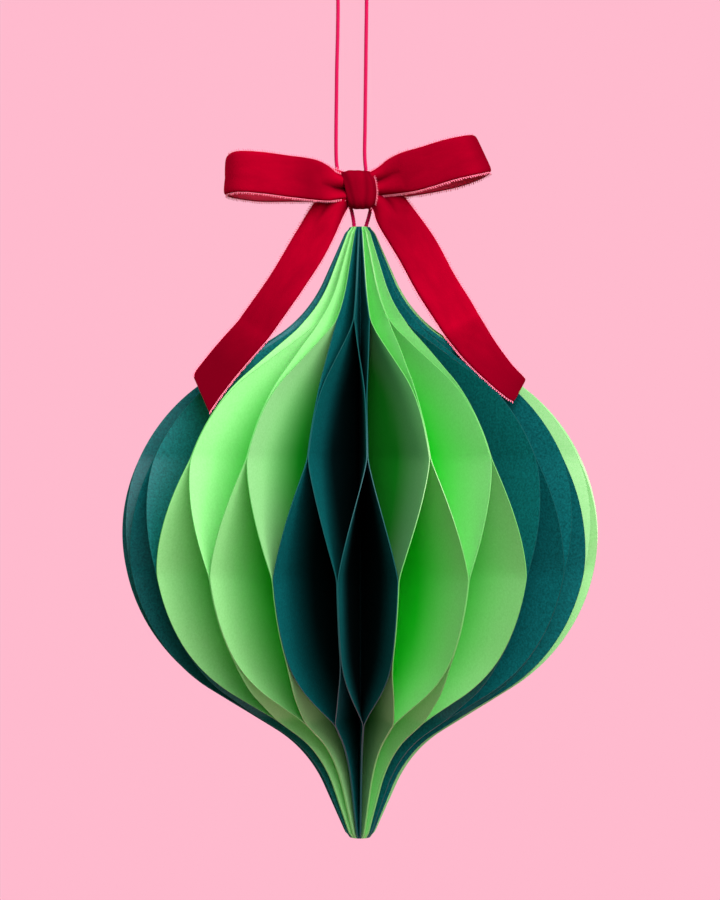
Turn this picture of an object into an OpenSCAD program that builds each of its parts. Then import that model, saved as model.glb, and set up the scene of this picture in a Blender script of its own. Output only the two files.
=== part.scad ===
// Hanging paper accordion ornament: folded card sheets round a hollow core,
// with a velvet ribbon bow and a cord loop.
// The origin is where a hook bears inside the cord loop, and +Z is up.

/* [Body outline] */
// Height of the folded body
body_h = 158; // [148:1:175]
// Diameter across the belly
belly_d = 122.4; // [112:0.4:134]
// Radius of the belly's arc
belly_arc_r = 46.7; // [43:0.1:50]
// Angle between the straight flank and the axis
flank_angle = 57.6; // [54:0.1:61]
// Radius of the hollow arc at each neck
neck_arc_r = 33.7; // [24:0.1:38]
// Angle between the tapered tip and the axis
tip_angle = 24; // [20:1:28]
// Radius of the flat end of each tip
tip_flat_r = 1.2; // [0.8:0.1:1.8]
// Radius of the rounded corner at each tip
tip_corner_r = 3.2; // [2:0.1:5]

/* [Folded sheets] */
// Number of folded sheets round the core
sheet_count = 24; // [20:4:28]
// Number of neighbouring sheets in one colour
colour_run = 2; // [1:1:2]
// Thickness of the card
card_t = 0.2; // [0.16:0.01:0.24]
// Thickness of the glue film between two leaves
glue_t = 0.02; // [0.01:0.01:0.04]
// Width that the card keeps beyond the fold at the tips
tip_land = 0.4; // [0.3:0.1:0.8]
// Azimuth of the seam between the first sheet and the last, going right from the front
first_seam = -19.5; // [-30:0.5:0]

/* [Glue rows] */
// Depth below the top of row 1, which joins neighbouring sheets
row_1_depth = 24.5; // [20:0.1:30]
// Depth of row 2, which closes each sheet
row_2_depth = 58.9; // [50:0.1:65]
// Depth of row 3, which joins neighbouring sheets
row_3_depth = 88.5; // [80:0.1:92]
// Depth of row 4, which closes each sheet
row_4_depth = 125.4; // [118:0.1:132]
// Length below row 3 over which neighbouring sheets lie together
row_3_contact_length = 12.8; // [8:0.1:18]

/* [Ribbon bow] */
// Width of the ribbon
ribbon_w = 10.6; // [9:0.1:12]
// Thickness of the ribbon
ribbon_t = 0.8; // [0.5:0.1:1]
// Gap between the knot and the top of the body
knot_gap = 4.3; // [3:0.1:6]
// Width of the knot along the bow
knot_w = 9; // [7.5:0.1:10]
// Height of the knot
knot_h = 10; // [9:0.1:11]
// Depth of the knot from front to back
knot_depth = 6.4; // [5.5:0.1:7.5]
// Radius of the knot's rounded edges
knot_edge_r = 2.1; // [1.5:0.1:2.6]
// Sideways place of the knot from the body's axis
knot_x = -0.3; // [-1:0.1:1]
// Gap between a tail and the edges of the leaves it lies on
tail_gap = 0.6; // [0.5:0.1:1]

/* [Cord] */
// Diameter of the cord
cord_d = 1; // [0.8:0.1:1]
// Gap between the cord and the ribbon that is tied round it
cord_gap = 0.1; // [0.05:0.05:0.2]

/* [Hidden] */
// Places of the body: its axis and its top and middle, seen from the loop
axis_x = 2;
body_top = -65.5;
body_mid = body_top - body_h / 2;

// Points where the stretches of the outline meet, as heights from the middle and radii
belly_r = belly_d / 2 - belly_arc_r;
flank_h = belly_arc_r * sin(flank_angle);
flank_r = belly_r + belly_arc_r * cos(flank_angle);
taper_h = body_h / 2 - tip_corner_r * (1 - sin(tip_angle));
taper_r = tip_flat_r + tip_corner_r * cos(tip_angle);
// Height at which the lines of the flank and the taper cross
cross_h = (flank_r - taper_r + flank_h * tan(flank_angle) - taper_h * tan(tip_angle))
    / (tan(flank_angle) - tan(tip_angle));
cross_r = flank_r - (cross_h - flank_h) * tan(flank_angle);
neck_tangent = neck_arc_r * tan((flank_angle - tip_angle) / 2);
neck_low_h = cross_h - neck_tangent * cos(flank_angle);
neck_high_h = cross_h + neck_tangent * cos(tip_angle);
neck_centre_h = neck_low_h + neck_arc_r * sin(flank_angle);
neck_centre_r = cross_r + neck_tangent * sin(flank_angle) + neck_arc_r * cos(flank_angle);

// One full turn
turn_angle = 360;
// How wide each sheet was pulled open by hand, against an even spread
spread = [0.98, 0.9, 1.1, 1.08, 0.94, 0.8, 1, 1, 1.02, 0.98, 1, 1.02,
    0.98, 1, 1, 1.02, 0.98, 1, 1, 0.98, 1.02, 1.1, 1.26, 1.1];
spread_sum = spread_before(sheet_count);
narrowest = min([for (i = [0:sheet_count - 1]) half_angle(i)]);
// Radius of the folds, where two leaves just fill the narrowest sheet's wedge
fold_r = (card_t + glue_t) / tan(narrowest);

// Bends of the leaves: how sharply they leave a glue row
open_power = 3.2;
close_power = 2.5;

// Depths of the rings of points, closer together where the card bends
ring_power = 1.5;
row_3_end_depth = row_3_depth + row_3_contact_length;
ring_depths = concat(
    [0],
    rings_leaving(0, row_1_depth, 6),
    rings_leaving(row_1_depth, row_2_depth, 5),
    rings_even(row_2_depth, row_3_depth, 3),
    rings_even(row_3_depth, row_3_end_depth, 2),
    rings_closing(row_3_end_depth, row_4_depth, 4),
    rings_closing(row_4_depth, body_h, 6));

// Place of the knot, and the back face of the knot in front of the cord
knot_z = body_top + knot_gap + knot_h / 2;
knot_back = -cord_d / 2 - cord_gap;
knot_y = knot_back - knot_depth / 2;
strap_y = cord_d / 2 + cord_gap + ribbon_t / 2;

// Each station of a loop: sideways, depth and height from the knot, lean, width share
left_loop = [[-1, -1, 0.4, 0, 0.5], [-5.2, -1.9, 0.6, 0, 0.64], [-7.8, -3.2, 1.3, 0, 0.86],
    [-11.5, -5, 2, 0, 0.98], [-18, -6.8, 2.6, 1, 1], [-25, -7.6, 3.4, 2, 1], [-31, -6.4, 3.8, 1, 0.98],
    [-34, -2.2, 3.4, -3, 0.94], [-32.2, 2.6, 3.2, -1, 0.96], [-26, 5.4, 2.9, 1, 1],
    [-18, 4.8, 2.8, 0, 1], [-11, 2.6, 2.2, 0, 0.94], [-5.5, 0.9, 1, 0, 0.8], [-1, 0.4, 0.6, 0, 0.6]];
right_loop = [[1, -1, 0.6, 8, 0.5], [5.4, -2, 1.9, 12, 0.67], [8.6, -3.4, 3, 14, 0.86],
    [12.5, -5.2, 3.9, 16, 0.98], [17, -6.2, 5, 17, 0.99], [23, -6.6, 6.8, 17, 0.99],
    [28.6, -5.4, 8.2, 20, 0.99], [31.8, -1, 9.2, 25, 0.98], [30, 3.4, 8.2, 22, 0.98],
    [25, 5.6, 6.7, 17, 1], [18.5, 4.6, 5.1, 16, 1], [12, 2.6, 3.5, 14, 0.95], [5.5, 0.9, 1.4, 10, 0.8],
    [1, 0.4, 0.6, 6, 0.6]];
// Each station of a tail's inner edge: sideways and height from the knot, lean, turn, width share
left_tail = [[-1.5, -2.6, 20, 0, 0.5], [-3.9, -6.4, 47, 10, 0.74], [-8.3, -16.2, 55, 22, 0.99],
    [-14.3, -25.8, 61, 27, 1], [-21.2, -35.8, 58, 28, 1], [-28.2, -45.7, 50, 30, 1],
    [-32.9, -52.7, 46, 31, 1], [-36.1, -57.8, 26, 31, 1.06]];
right_tail = [[1.4, -2.4, -20, 0, 0.5], [3.6, -5.2, -48, 4, 0.76], [5.1, -9.4, -58, 6, 0.94],
    [10.4, -18.4, -57, 8, 1.03], [15.1, -27.1, -62, 10, 1.03], [20.6, -35.7, -60, 16, 1.04],
    [26, -44, -56, 30, 1.03], [31.5, -50.1, -52, 41, 1], [35.8, -53.9, -44, 47, 1],
    [37.8, -55.1, -32, 50, 0.98]];
// How far in front of the axis a tail leaves the knot
tail_front = ribbon_t - knot_y;
// How much further forward a tail hangs for each millimetre below the knot
tail_swing = 0.12;
// How sharply a tail bends from hanging free to lying on the body
tail_bend_power = 4;
// Steps between two stations of the ribbon
ribbon_steps = 2;
// Sides of the knot's rounded edges
knot_sides = 32;

// Stations of the stretch of ribbon that passes behind the cord
strap = [[-3.6, -1.6], [-6.4, -1.4], [-8.2, 0.2], [-6.6, 1], [-3, 1], [2, 1], [5.6, 1],
    [7.4, 0.4], [6, -1.4], [3.4, -1.6]];
strap_w = 7;

// Route of the cord: out of the core, up, round the loop, down and into the core
cord_route = [[0.5, 0, -80], [0.5, 0, -76], [0.5, 0, -72], [0.5, 0, -68], [0.5, 0, -65.5],
    [0.2, 0, -63], [-0.5, 0, -60], [-1.8, 0, -56.5], [-3.2, 0, -53], [-4, 0, -49.5],
    [-4.2, 0, -46], [-4.2, 0, -40], [-4.1, 0, -32], [-4, 0, -24], [-3.8, 0, -16], [-3.7, 0, -9],
    [-3.7, 0, -3.3], [-3.2, 0, -1.4], [-1.9, 0, 0], [0, 0, 0.5], [1.9, 0, 0], [3.2, 0, -1.4],
    [3.7, 0, -3.3], [3.7, 0, -9], [3.6, 0, -16], [3.5, 0, -24], [3.4, 0, -32], [3.3, 0, -40],
    [3.2, 0, -46], [3.4, 0, -49.5], [3.9, 0, -53], [4.5, 0, -56.5], [4.8, 0, -60],
    [4.2, 0, -63], [3.5, 0, -65.5], [3.5, 0, -68], [3.5, 0, -72], [3.5, 0, -76], [3.5, 0, -80]];
cord_sides = 8;

// Sum of the spread of the sheets before sheet n
function spread_before(n) = n <= 0 ? 0 : spread[(n - 1) % len(spread)] + spread_before(n - 1);
function half_angle(i) = turn_angle / 2 * spread[i % len(spread)] / spread_sum;
function seam_azimuth(i) = first_seam + turn_angle * spread_before(i) / spread_sum;
function is_dark(i) = floor(i / colour_run) % 2 == 0;
function sheet_name(i) = str(is_dark(i) ? "dark" : "light", "_sheet_", i < 9 ? "0" : "", i + 1);

// Depths of n rings between two depths: bunched after the first, even, bunched before the second
function rings_leaving(from, to, n) = [for (k = [1:n]) from + (to - from) * pow(k / n, ring_power)];
function rings_even(from, to, n) = [for (k = [1:n]) from + (to - from) * k / n];
function rings_closing(from, to, n) = [for (k = [1:n]) to - (to - from) * pow(1 - k / n, ring_power)];

// Radius of the body's outline at height h from its middle
function outline_r(h) =
    abs(h) < flank_h ? belly_r + sqrt(pow(belly_arc_r, 2) - h * h)
    : abs(h) < neck_low_h ? flank_r - (abs(h) - flank_h) * tan(flank_angle)
    : abs(h) < neck_high_h ? neck_centre_r - sqrt(pow(neck_arc_r, 2) - pow(neck_centre_h - abs(h), 2))
    : abs(h) < taper_h ? taper_r + (taper_h - abs(h)) * tan(tip_angle)
    : tip_flat_r + sqrt(max(0, pow(tip_corner_r, 2) - pow(abs(h) - body_h / 2 + tip_corner_r, 2)));
function leaf_r(depth) = max(outline_r(body_h / 2 - depth), fold_r + card_t + tip_land);

// Share of the way from one depth to another that is passed at a depth
function share(depth, from, to) = (depth - from) / (to - from);

// How far a sheet is open at a depth: 0 where its leaves meet, 1 where it meets its neighbours
function opening(depth) =
    depth <= row_1_depth ? 1
    : depth <= row_2_depth ? pow(share(depth, row_2_depth, row_1_depth), open_power)
    : depth <= row_3_depth ? share(depth, row_2_depth, row_3_depth)
    : depth <= row_3_end_depth ? 1
    : depth < row_4_depth ? 1 - pow(share(depth, row_3_end_depth, row_4_depth), close_power)
    : 0;

// Distance of a leaf's inner face from its sheet's middle plane, at u along that plane, where the
// leaf lies against the next sheet
function full_offset(u, half) = u * tan(half) - card_t - glue_t / 2;

// The V of one folded sheet at one depth: two leaves joined by the fold at the core. The fold
// fills its wedge at every depth, so the folds close the core all round.
function sheet_section(half, depth) =
    let (
        open = opening(depth),
        edge = leaf_r(depth) * cos(half * open),
        web = fold_r + card_t,
        root = full_offset(fold_r, half) + card_t,
        inner = open * full_offset(edge, half) + (1 - open) * glue_t / 2,
        throat = full_offset(web, half))
    [[fold_r, -root], [edge, -inner - card_t], [edge, -inner], [web, -throat],
        [web, throat], [edge, inner], [edge, inner + card_t], [fold_r, root]];

// Triangles of a skin over rings of n points; flip(j) turns the diagonal of side j
function skin_faces(rings, n, flipped = []) = concat(
    [for (k = [0:rings - 2], j = [0:n - 1], s = [0, 1])
        let (
            a = k * n + j,
            b = k * n + (j + 1) % n,
            turn = len(search(j, flipped)) > 0)
        turn
            ? (s == 0 ? [a, b, a + n] : [b, b + n, a + n])
            : (s == 0 ? [a, b, b + n] : [a, b + n, a + n])],
    [[for (j = [n - 1:-1:0]) j]],
    [[for (j = [0:n - 1]) (rings - 1) * n + j]]);

function unit(v) = v / norm(v);

// Point k + s of a smooth curve through a list of points, with s from 0 to 1
function spline(points, k, s) =
    let (
        last = len(points) - 1,
        a = points[max(k - 1, 0)],
        b = points[k],
        c = points[min(k + 1, last)],
        d = points[min(k + 2, last)])
    0.5 * (2 * b + (c - a) * s + (2 * a - 5 * b + 4 * c - d) * s * s + (3 * b - a - 3 * c + d) * s * s * s);

function smooth(points, steps) = concat(
    [for (k = [0:len(points) - 2], i = [0:steps - 1]) spline(points, k, i / steps)],
    [points[len(points) - 1]]);

// Direction of a curve at its point k
function heading(points, k) = unit(points[min(k + 1, len(points) - 1)] - points[max(k - 1, 0)]);

// Direction across a ribbon that leans by one angle and turns away by another
function across(lean, turn) = [-sin(lean) * cos(turn), sin(turn), cos(lean) * cos(turn)];

// Depth of a tail's inner edge: hanging free below the knot, then lying on the body
function tail_depth(x, z) =
    let (
        hang = tail_front + tail_swing * (knot_z - z),
        rest = sqrt(max(0, pow(outline_r(z - body_mid) + tail_gap, 2) - x * x)))
    -pow(pow(hang, tail_bend_power) + pow(rest, tail_bend_power), 1 / tail_bend_power);

// One stretch of ribbon between two edges, as a solid of the ribbon's thickness
module ribbon_stretch(low_edge, high_edge) {
    middle = (low_edge + high_edge) / 2;
    count = len(middle);
    points = [for (k = [0:count - 1])
        let (out = unit(cross(heading(middle, k), high_edge[k] - low_edge[k])) * ribbon_t / 2)
        each [low_edge[k] - out, low_edge[k] + out, high_edge[k] + out, high_edge[k] - out]];
    polyhedron(points, skin_faces(count, 4), convexity = 8);
}

module loop_stretch(stations) {
    places = smooth(stations, ribbon_steps);
    low = [for (p = places)
        [knot_x + p[0], knot_y + p[1], knot_z + p[2]] - across(p[3], 0) * ribbon_w / 2 * p[4]];
    high = [for (p = places)
        [knot_x + p[0], knot_y + p[1], knot_z + p[2]] + across(p[3], 0) * ribbon_w / 2 * p[4]];
    ribbon_stretch(low, high);
}

module tail_stretch(stations) {
    places = smooth(stations, ribbon_steps);
    inner = [for (p = places)
        let (x = knot_x + p[0], z = knot_z + p[1]) [x, tail_depth(x, z), z]];
    outer = [for (k = [0:len(places) - 1])
        inner[k] + across(places[k][2], places[k][3]) * ribbon_w * places[k][4]];
    ribbon_stretch(inner, outer);
}

module strap_stretch() {
    places = smooth([for (p = strap) [knot_x + p[0], p[1] * strap_y, knot_z]], ribbon_steps);
    low = [for (p = places) p - [0, 0, strap_w / 2]];
    high = [for (p = places) p + [0, 0, strap_w / 2]];
    ribbon_stretch(low, high);
}

module knot_band() {
    translate([knot_x, knot_y, knot_z])
        hull()
            for (front = [-1, 1], side = [-1, 1])
                translate([0, front * (knot_depth / 2 - knot_edge_r), side * (knot_h / 2 - knot_edge_r)])
                    rotate([0, 90, 0])
                        cylinder(r = knot_edge_r, h = knot_w, center = true, $fn = knot_sides);
}

module folded_sheet(i) {
    half = half_angle(i);
    points = [for (depth = ring_depths, p = sheet_section(half, depth))
        [p[0], p[1], body_top - depth]];
    color(is_dark(i) ? "#04645C" : "#70E070")
        translate([axis_x, 0, 0])
            rotate([0, 0, seam_azimuth(i) + half - 90])
                polyhedron(points, skin_faces(len(ring_depths), 8, [0, 4]), convexity = 6);
}

module ribbon_bow() {
    color("#900020")
        translate([axis_x, 0, 0])
            union() {
                knot_band();
                strap_stretch();
                loop_stretch(left_loop);
                loop_stretch(right_loop);
                tail_stretch(left_tail);
                tail_stretch(right_tail);
            }
}

module hanging_cord() {
    points = [for (k = [0:len(cord_route) - 1])
        let (side = cross(heading(cord_route, k), [0, 1, 0]))
        each [for (j = [0:cord_sides - 1])
            cord_route[k] + cord_d / 2 * (side * cos(turn_angle * j / cord_sides)
                + [0, 1, 0] * sin(turn_angle * j / cord_sides))]];
    color("#C00A58")
        polyhedron(points, skin_faces(len(cord_route), cord_sides), convexity = 6);
}

for (i = [0:sheet_count - 1])
    folded_sheet(i);
ribbon_bow();
hanging_cord();
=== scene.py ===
"""Looks of a hanging paper accordion ornament with a velvet ribbon bow and a cord loop.

The card sheets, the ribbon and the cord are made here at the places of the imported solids.
Lengths are in metres, written in millimetres times MM. +Z is up, the bow's knot faces -Y, and the
origin is where a hook bears inside the cord loop.
"""

import logging
import math
from collections.abc import Callable, Mapping, Sequence
from dataclasses import dataclass
from enum import Enum
from functools import cached_property, partialmethod

import bpy
import numpy as np
from bpy.types import ID, Material, Mesh, Node, NodeSocket, NodeTree, Object
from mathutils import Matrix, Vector

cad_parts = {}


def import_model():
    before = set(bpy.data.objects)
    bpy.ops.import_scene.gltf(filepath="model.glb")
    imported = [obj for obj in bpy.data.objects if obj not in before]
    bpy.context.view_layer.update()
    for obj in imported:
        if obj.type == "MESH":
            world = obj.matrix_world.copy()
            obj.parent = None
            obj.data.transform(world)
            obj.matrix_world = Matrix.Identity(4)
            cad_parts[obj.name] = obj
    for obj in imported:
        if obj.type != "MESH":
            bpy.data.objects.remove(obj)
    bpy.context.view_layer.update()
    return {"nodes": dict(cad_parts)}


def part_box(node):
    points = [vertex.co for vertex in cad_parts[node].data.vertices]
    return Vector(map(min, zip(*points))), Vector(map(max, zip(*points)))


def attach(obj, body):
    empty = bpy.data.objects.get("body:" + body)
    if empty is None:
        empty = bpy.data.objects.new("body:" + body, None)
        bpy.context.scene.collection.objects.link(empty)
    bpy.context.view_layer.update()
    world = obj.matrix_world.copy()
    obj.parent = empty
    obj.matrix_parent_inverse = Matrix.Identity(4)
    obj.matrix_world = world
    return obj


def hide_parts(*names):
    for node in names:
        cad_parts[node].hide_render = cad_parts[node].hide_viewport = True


MM = 0.001
AXIS_X = 2 * MM
BODY = "root"
LOG = logging.getLogger("ornament")


class Formula:
    """A number inside a node tree. Python's operators on it add the tree's Math nodes."""

    def __init__(self, tree: NodeTree, socket: NodeSocket) -> None:
        """Keeps the socket that gives the number, and its tree."""
        self.tree = tree
        self.socket = socket

    def math(self, operation: str, *others: "Number", clamp: bool = False) -> "Formula":
        """Adds a Math node.

        Args:
            operation: The node's operation.
            others: What it takes besides this number.
            clamp: Whether its result is held between 0 and 1.

        Returns:
            The node's result.
        """
        inputs = dict(enumerate((self, *others)))
        node = add_node(self.tree, "ShaderNodeMath", inputs, operation=operation, use_clamp=clamp)
        return Formula(self.tree, node.outputs[0])

    def __rsub__(self, other: float) -> "Formula":
        """Other minus this."""
        return self.math("MULTIPLY", -1.0) + other

    __add__ = __radd__ = partialmethod(math, "ADD")
    __sub__ = partialmethod(math, "SUBTRACT")
    __mul__ = __rmul__ = partialmethod(math, "MULTIPLY")
    __truediv__ = partialmethod(math, "DIVIDE")
    __abs__ = partialmethod(math, "ABSOLUTE")
    # The formula's number, held between 0 and 1.
    held = partialmethod(math, "ADD", 0.0, clamp=True)


Number = float | Formula


def add_node(tree: NodeTree, kind: str, inputs: Mapping | None = None, **settings: object) -> Node:
    """Adds a node and fills its inputs.

    Args:
        tree: The tree that gets the node.
        kind: The node's type.
        inputs: Values, sockets, nodes or formulas for its inputs, by name or number.
        settings: Values of the node's own properties.

    Returns:
        The new node.
    """
    node = tree.nodes.new(kind)
    for name, value in settings.items():
        setattr(node, name, value)
    for key, value in (inputs or {}).items():
        if isinstance(value, Formula):
            value = value.socket
        if isinstance(value, Node):
            value = value.outputs[0]
        if isinstance(value, NodeSocket):
            tree.links.new(value, node.inputs[key])
        else:
            node.inputs[key].default_value = value
    return node


def root_of(value: Number) -> Number:
    """Square root of a number or a formula, and 0 where it is negative."""
    return value.math("SQRT") if isinstance(value, Formula) else math.sqrt(max(value, 0.0))


def is_below(value: Number, limit: Number) -> Number:
    """1 where a number or a formula is below a limit, and 0 elsewhere."""
    return value.math("LESS_THAN", limit) if isinstance(value, Formula) else float(value < limit)


def linear(hex_colour: str) -> tuple[float, float, float, float]:
    """Turns an sRGB hex colour into a linear colour.

    Args:
        hex_colour: Six hex digits after a hash mark.

    Returns:
        Red, green, blue and an alpha of 1.
    """
    shares = [int(hex_colour[k:k + 2], 16) / 255 for k in (1, 3, 5)]
    red, green, blue = (s / 12.92 if s <= 0.04045 else ((s + 0.055) / 1.055) ** 2.4 for s in shares)
    return red, green, blue, 1.0


def smooth_points(points: np.ndarray, steps: int) -> np.ndarray:
    """Runs a smooth curve through a list of points.

    Args:
        points: One row for each point, with any number of columns.
        steps: New points for each stretch between two old ones.

    Returns:
        The points of the curve, the old ones among them.
    """
    padded = np.vstack([points[:1], points, points[-1:]])
    before, start, end, after = padded[:-3], padded[1:-2], padded[2:-1], padded[3:]
    shares = (np.arange(steps) / steps)[None, :, None]
    curve = 0.5 * (2 * start[:, None] + (end - before)[:, None] * shares
                   + (2 * before - 5 * start + 4 * end - after)[:, None] * shares ** 2
                   + (3 * start - before - 3 * end + after)[:, None] * shares ** 3)
    return np.vstack([curve.reshape(-1, points.shape[1]), points[-1:]])


def unit_rows(vectors: np.ndarray) -> np.ndarray:
    """Each row of an array at length 1."""
    return vectors / np.maximum(np.linalg.norm(vectors, axis=1, keepdims=True), 1e-12)


def distance_along(points: np.ndarray) -> np.ndarray:
    """Distance of each point from the first, along the line through all of them."""
    steps = np.linalg.norm(np.diff(points, axis=0), axis=1)
    return np.concatenate([[0.0], np.cumsum(steps)])


def named_sizes(owner: object) -> dict[str, float]:
    """The numbers of a dataclass under the names that recipes read, such as Row 1 for row_1."""
    return {name.replace("_", " ").capitalize(): value for name, value in vars(owner).items()
            if isinstance(value, float)}


class Shading:
    """A material with one Principled shader, and the nodes that feed it."""

    def __init__(self, name: str, values: Mapping[str, object]) -> None:
        """Makes the material, with values for the shader's own inputs."""
        self.material = bpy.data.materials.new(name)
        self.material.use_nodes = True
        self.tree = self.material.node_tree
        self.tree.nodes.clear()
        self.shader = add_node(self.tree, "ShaderNodeBsdfPrincipled", values)
        add_node(self.tree, "ShaderNodeOutputMaterial", {"Surface": self.shader})

    def clouds(self, size: float, detail: float, roughness: float = 0.5,
               place: Node | None = None) -> Node:
        """Adds a cloudy pattern.

        Args:
            size: Size of the clouds.
            detail: Finer layers in them.
            roughness: Strength of the finer layers.
            place: What the pattern lies on, or None for the object's own space.

        Returns:
            The pattern, from 0 to 1.
        """
        if place is None:
            place = add_node(self.tree, "ShaderNodeTexCoord").outputs["Object"]
        return add_node(self.tree, "ShaderNodeTexNoise", {
            "Vector": place, "Scale": 1 / size, "Detail": detail, "Roughness": roughness})

    def sharpen(self, pattern: Node, reach: float) -> Node:
        """Spreads what lies within reach of a pattern's middle over the range from 0 to 1."""
        return add_node(self.tree, "ShaderNodeMapRange", {
            "Value": pattern, "From Min": 0.5 - reach, "From Max": 0.5 + reach})

    def paint(self, ground: str, *layers: tuple[Node | str, str]) -> None:
        """Colours the surface.

        Args:
            ground: The lowest colour.
            layers: What lies over it: how much shows, as a node or the name of a mesh attribute,
                and its colour.
        """
        colour = linear(ground)
        for share, layer in layers:
            if isinstance(share, str):
                share = add_node(self.tree, "ShaderNodeAttribute", attribute_name=share).outputs["Fac"]
            inputs = {0: share, 6: colour, 7: linear(layer)}
            colour = add_node(self.tree, "ShaderNodeMix", inputs, data_type="RGBA").outputs[2]
        self.tree.links.new(colour, self.shader.inputs["Base Color"])

    def emboss(self, pattern: Node, height: float) -> None:
        """Raises the surface by a pattern."""
        bump = add_node(self.tree, "ShaderNodeBump", {
            "Height": pattern, "Distance": height, "Strength": 1.0})
        self.tree.links.new(bump.outputs[0], self.shader.inputs["Normal"])


@dataclass(frozen=True)
class CardFinish:
    """Smooth uncoated card, dyed through: a fine cloudy grain, paler cuts, and painted shade: a
    deeper, darker colour towards the folds, deep in the cells, where leaf faces leaf."""

    name: str
    colour: str
    grain_colour: str
    # Painted shade: the colour deep in the cells, where leaf faces leaf.
    cell_shade_colour: str
    cut_colour: str
    grain_size: float = 0.5 * MM
    fibre_size: float = 0.35 * MM
    fibre_height: float = 0.006 * MM
    rough: float = 0.45
    shine: float = 0.8
    shine_colour: str = "#FFFFFF"

    @cached_property
    def material(self) -> Material:
        """The card's material, with the mesh's attributes for cuts and for the painted shade deep in
        the cells.
        """
        shading = Shading(self.name, {
            "Roughness": self.rough, "Specular IOR Level": self.shine,
            "Specular Tint": linear(self.shine_colour)})
        grain = shading.sharpen(shading.clouds(self.grain_size, detail=3.0, roughness=0.65), reach=0.2)
        # The layer before the cuts is painted shade, deep in the cells.
        shading.paint(self.colour, (grain, self.grain_colour), ("inside", self.cell_shade_colour),
                      ("cut_edge", self.cut_colour))
        shading.emboss(shading.clouds(self.fibre_size, detail=2.0), self.fibre_height)
        return shading.material


@dataclass(frozen=True)
class VelvetFinish:
    """Cotton velvet: a dense short pile that drinks light face on and glows at its edges."""

    name: str = "crimson velvet pile"
    colour: str = "#980022"
    shaded_colour: str = "#8C001F"
    # Painted shade, laid by the mesh's share of it: in creases, on the knot and at given places.
    pressed_colour: str = "#500010"
    reverse_colour: str = "#C43450"
    sheen_colour: str = "#FF1C40"
    sheen: float = 0.35
    sheen_rough: float = 0.35
    brush_length: float = 9 * MM
    brush_slimness: float = 2.5
    pile_size: float = 0.3 * MM
    pile_height: float = 0.05 * MM
    rough: float = 0.85

    @cached_property
    def material(self) -> Material:
        """The velvet's material, with the woven side and the painted shade read from mesh attributes.
        """
        shading = Shading(self.name, {
            "Roughness": self.rough, "Specular IOR Level": 0.0, "Sheen Weight": self.sheen,
            "Sheen Roughness": self.sheen_rough, "Sheen Tint": linear(self.sheen_colour)})
        ribbon = add_node(shading.tree, "ShaderNodeUVMap", uv_map="ribbon")
        brushed = add_node(shading.tree, "ShaderNodeMapping", {
            "Vector": ribbon, "Scale": (1.0, self.brush_slimness, 1.0)})
        strokes = shading.clouds(self.brush_length, detail=4.0, roughness=0.6, place=brushed)
        lay = shading.sharpen(strokes, reach=0.15)
        # The third layer is painted shade, and the fourth the woven side.
        shading.paint(self.colour, (lay, self.shaded_colour), ("pressed", self.pressed_colour),
                      ("reverse", self.reverse_colour))
        shading.emboss(shading.clouds(self.pile_size, detail=1.0), self.pile_height)
        return shading.material


@dataclass(frozen=True)
class ThreadFinish:
    """Spun thread: a soft even colour with fine fibres along it and a faint satin glow."""

    name: str
    colour: str
    shaded_colour: str
    fibre_size: float = 0.25 * MM
    fibre_height: float = 0.03 * MM
    rough: float = 0.6
    sheen: float = 0.3
    sheen_rough: float = 0.4
    shine: float = 0.15

    @cached_property
    def material(self) -> Material:
        """The thread's material."""
        shading = Shading(self.name, {
            "Roughness": self.rough, "Specular IOR Level": self.shine,
            "Sheen Weight": self.sheen, "Sheen Roughness": self.sheen_rough})
        fibres = shading.clouds(self.fibre_size, detail=2.0)
        shading.paint(self.shaded_colour, (fibres, self.colour))
        shading.emboss(fibres, self.fibre_height)
        return shading.material


class CardColour(Enum):
    """The two card colours, with the record's slot as the value."""

    DARK = "dark_card"
    LIGHT = "light_card"

    @property
    def finish(self) -> CardFinish:
        """The finish of this colour."""
        return CARD_FINISHES[self]


# The third colour of each finish is painted shade, deep in the cells.
CARD_FINISHES = {
    CardColour.DARK: CardFinish(
        "dark green card", "#004E48", "#087A72", "#002624", "#0A544E", shine=0.4,
        shine_colour="#A8E8E0"),
    CardColour.LIGHT: CardFinish("light green card", "#8AF092", "#7AE681", "#16E02A", "#5ACC60"),
}
VELVET = VelvetFinish()
SELVEDGE = ThreadFinish("pale pink selvedge thread", "#FFA8B8", "#F08098")
CORD_THREAD = ThreadFinish("hot pink cord thread", "#D0085C", "#A00448", sheen=0.04)


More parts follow.
